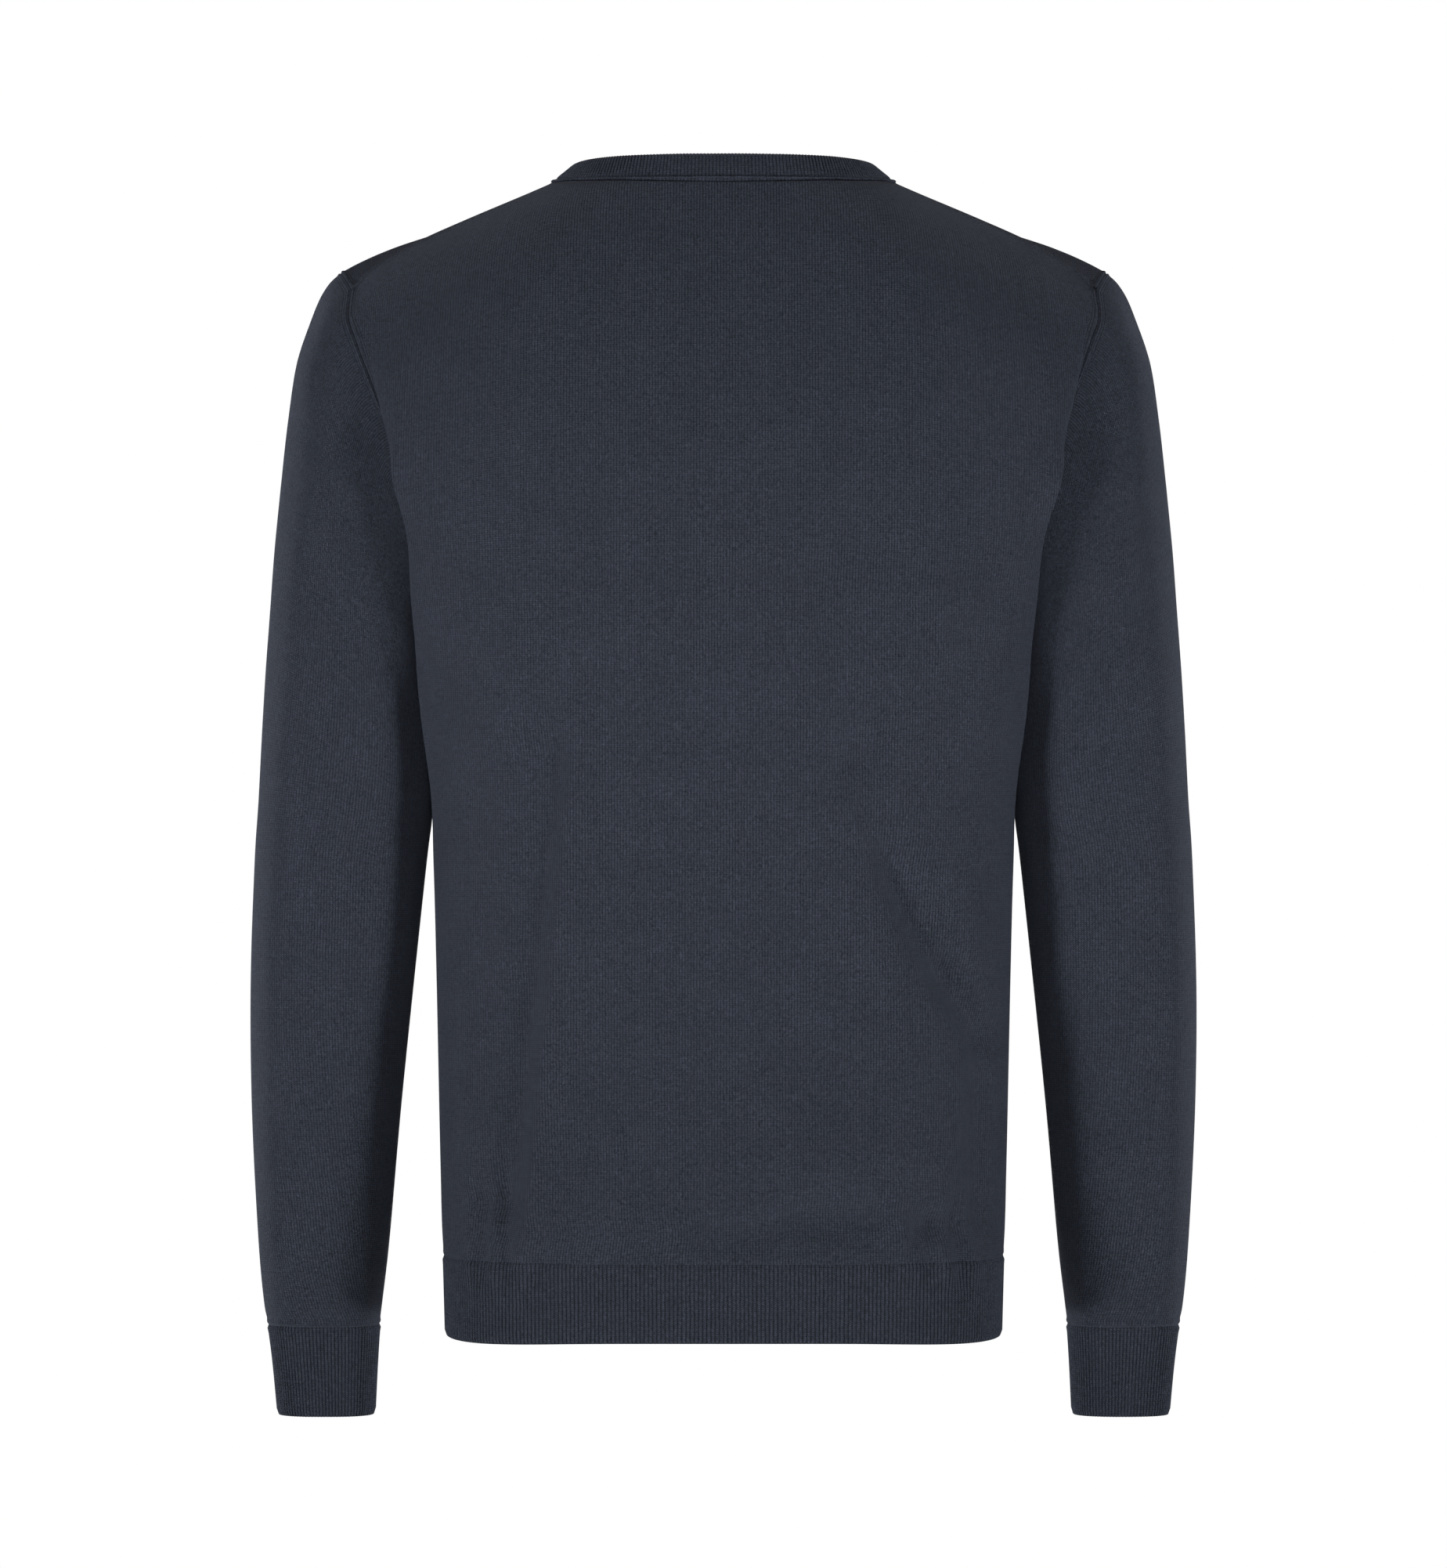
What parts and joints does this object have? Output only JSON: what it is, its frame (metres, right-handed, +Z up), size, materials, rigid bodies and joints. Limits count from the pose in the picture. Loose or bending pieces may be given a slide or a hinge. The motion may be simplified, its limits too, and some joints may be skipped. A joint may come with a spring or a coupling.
{
  "type": "v-neck sweater",
  "caption": "Long-sleeved fine-knit sweater with a V-neck, set-in sleeves and ribbed neck, cuffs and hem, filled out as when worn.",
  "frame": {"origin": "the middle of the neck, level with the high points of the shoulders, where the wearer holds the garment up", "axes": "+Z up along the body; the front with the V faces -Y and the back faces +Y; +X is the wearer's left"},
  "size_m": [0.5582, 0.239, 0.7383],
  "materials": {
    "jersey_knit": "matt fine plain knit, dark navy",
    "rib_knit": "matt fine rib knit, dark navy"
  },
  "bodies": {
    "root": {"back_panel": "jersey_knit", "front_panel": "jersey_knit", "sleeve_left": "jersey_knit", "sleeve_right": "jersey_knit", "hem_rib_back": "rib_knit", "hem_rib_front": "rib_knit", "cuff_left": "rib_knit", "cuff_right": "rib_knit", "neckband": "rib_knit"}
  },
  "joints": []
}
